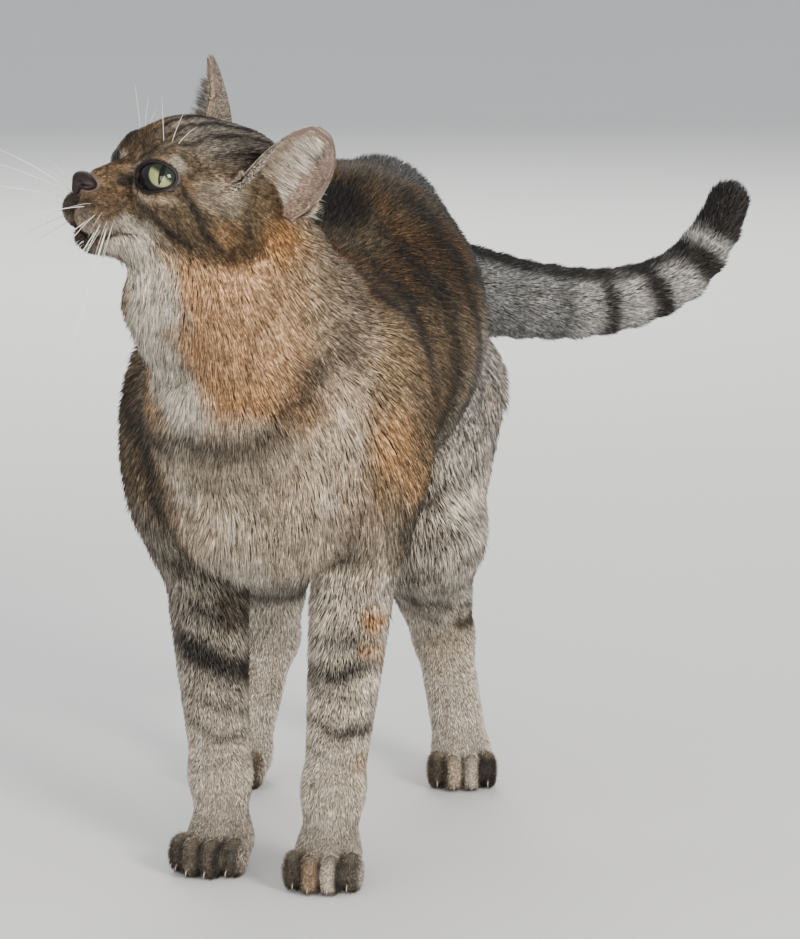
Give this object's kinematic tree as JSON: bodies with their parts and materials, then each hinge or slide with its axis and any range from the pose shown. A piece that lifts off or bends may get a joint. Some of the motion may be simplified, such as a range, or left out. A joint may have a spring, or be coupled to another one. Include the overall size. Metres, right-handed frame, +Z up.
{
  "type": "cat",
  "caption": "Life-size standing shorthair cat with an arched back, its head turned aside and lifted, and its tail curled out.",
  "frame": {"origin": "on the floor under the middle of the whole box", "axes": "+Z up, -Y the way the body faces, +X the cat's left"},
  "size_m": [0.2768, 0.4578, 0.3507],
  "materials": {
    "coat": "short fur",
    "ear": "thin fur over skin",
    "eye": "wet and clear",
    "nose": "pebbled and moist",
    "whisker": "smooth"
  },
  "bodies": {
    "root": {"head": "coat", "lower_jaw": "coat", "nose": "nose", "whisker_pad_left": "coat", "eye_left": "eye", "ear_left": "ear", "whisker_left_1": "whisker", "whisker_left_2": "whisker", "whisker_left_3": "whisker", "whisker_left_4": "whisker", "whisker_left_5": "whisker", "whisker_left_6": "whisker", "whisker_left_7": "whisker", "whisker_pad_right": "coat", "eye_right": "eye", "ear_right": "ear", "whisker_right_1": "whisker", "whisker_right_2": "whisker", "whisker_right_3": "whisker", "whisker_right_4": "whisker", "whisker_right_5": "whisker", "whisker_right_6": "whisker", "whisker_right_7": "whisker", "neck": "coat", "chest": "coat", "loin_and_hips": "coat", "foreleg_left": "coat", "forepaw_left": "coat", "hindleg_left": "coat", "hindpaw_left": "coat", "foreleg_right": "coat", "forepaw_right": "coat", "hindleg_right": "coat", "hindpaw_right": "coat", "tail_base": "coat", "tail_middle": "coat", "tail_tip": "coat"}
  },
  "joints": []
}
